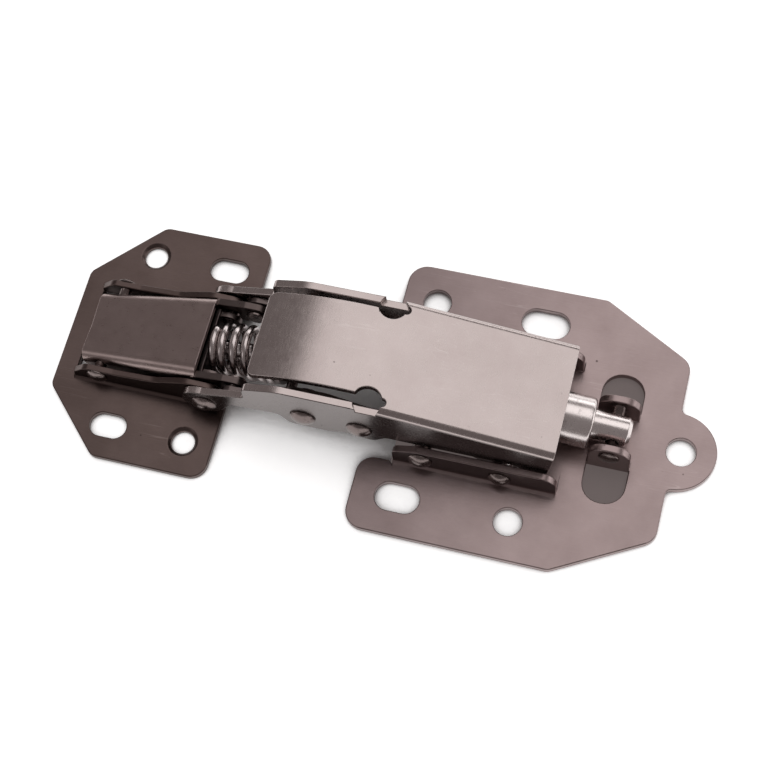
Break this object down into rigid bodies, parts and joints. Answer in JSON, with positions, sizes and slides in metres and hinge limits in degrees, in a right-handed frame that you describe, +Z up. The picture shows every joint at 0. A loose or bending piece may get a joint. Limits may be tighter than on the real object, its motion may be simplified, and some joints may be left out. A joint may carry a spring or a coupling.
{
  "type": "surface-mounted soft-close cabinet hinge",
  "caption": "Surface-mounted soft-close cabinet hinge, shown open: door plate and cabinet plate joined by a folding steel linkage with a coil spring and a small damper.",
  "frame": {"origin": "centre of the screw hole in the cabinet plate's tongue, at the plate's underside", "axes": "+X along the hinge, from the door plate towards the tongue; +Y across it; +Z up, away from the panels that the plates are screwed to"},
  "size_m": [0.1379, 0.06, 0.0217],
  "materials": {
    "cabinet_plate": "nickel-plated stamped sheet, satin",
    "door_plate": "nickel-plated stamped sheet, darker satin",
    "arm": "nickel-plated stamped sheet, satin",
    "link": "plated stamped sheet",
    "rivet": "plated, glossy",
    "bright_steel": "bright plated",
    "spring": "plated spring wire, glossy",
    "damper": "polished plating",
    "seal": "black nitrile",
    "piston": "moulded acetal, black"
  },
  "bodies": {
    "cabinet_part": {"base_plate": "cabinet_plate", "base_link_rivets": "rivet", "base_link_sleeves": "bright_steel", "base_arm_rivets": "rivet", "base_arm_sleeves": "bright_steel", "damper_pin": "rivet"},
    "inner_links": {"inner_link_left": "link", "inner_link_right": "link", "front_link_rivets": "rivet"},
    "support_links": {"support_link_left": "link", "support_link_right": "link", "rod_pin": "rivet", "rear_spring_pin": "rivet"},
    "arm": {"outer_arm": "arm", "arm_rivets": "rivet", "support_rivets": "rivet", "door_rivets": "rivet"},
    "door_part": {"door_plate": "door_plate", "door_front_rivets": "rivet"},
    "ramp_link": {"front_link": "door_plate"},
    "spring_front": {"front_spring_seat": "link", "spring": "spring"},
    "spring_rear": {"rear_spring_seat": "link", "spring_guide_rod": "bright_steel"},
    "damper_body": {"damper_cylinder": "damper", "damper_end_plug": "damper", "rod_seal": "seal"},
    "damper_rod": {"piston_rod": "bright_steel", "piston": "piston"}
  },
  "joints": [
    {"name": "inner_link_fold", "type": "hinge", "parent": "cabinet_part", "child": "inner_links", "pos_m": [-0.0338, 0, 0.0044], "axis": [0, 1, 0], "range_deg": [0, 79.5]},
    {"name": "support_link_fold", "type": "hinge", "parent": "cabinet_part", "child": "support_links", "pos_m": [-0.05, 0, 0.0052], "axis": [0, 1, 0], "range_deg": [0, 90.5]},
    {"name": "arm_fold", "type": "hinge", "parent": "inner_links", "child": "arm", "pos_m": [-0.0627, 0, 0.01], "axis": [0, 1, 0], "range_deg": [-100, 0]},
    {"name": "door_plate_fold", "type": "hinge", "parent": "arm", "child": "door_part", "pos_m": [-0.0961, 0, 0.0063], "axis": [0, 1, 0], "range_deg": [0, 110.5]},
    {"name": "front_link_fold", "type": "hinge", "parent": "door_part", "child": "ramp_link", "pos_m": [-0.1206, 0, 0.0043], "axis": [0, 1, 0], "range_deg": [-114.5, 0]},
    {"name": "spring_swing", "type": "hinge", "parent": "arm", "child": "spring_front", "pos_m": [-0.0961, 0, 0.0063], "axis": [0, 1, 0], "range_deg": [-15, 0]},
    {"name": "spring_stroke", "type": "slide", "parent": "spring_front", "child": "spring_rear", "axis": [0.9904, 0, 0.1383], "range_m": [0, 0.0039], "deforming": ["spring"]},
    {"name": "damper_tilt", "type": "hinge", "parent": "cabinet_part", "child": "damper_body", "pos_m": [-0.0136, 0, 0.0064], "axis": [0, 1, 0], "range_deg": [-1.6, 0]},
    {"name": "damper_stroke", "type": "slide", "parent": "damper_body", "child": "damper_rod", "axis": [0.9945, 0, -0.1044], "range_m": [0, 0.0095]}
  ],
  "couplings": [
    {"joint": "support_link_fold", "follows": "inner_link_fold", "ratio": 1.1321},
    {"joint": "arm_fold", "follows": "inner_link_fold", "ratio": -1.2516},
    {"joint": "door_plate_fold", "follows": "inner_link_fold", "ratio": 1.3836},
    {"joint": "front_link_fold", "follows": "inner_link_fold", "ratio": -1.434},
    {"joint": "spring_swing", "follows": "inner_link_fold", "ratio": -0.1824},
    {"joint": "spring_stroke", "follows": "inner_link_fold", "m_per_rad": 0.002739},
    {"joint": "damper_tilt", "follows": "inner_link_fold", "ratio": -0.01887},
    {"joint": "damper_stroke", "follows": "inner_link_fold", "m_per_rad": 0.006782}
  ]
}
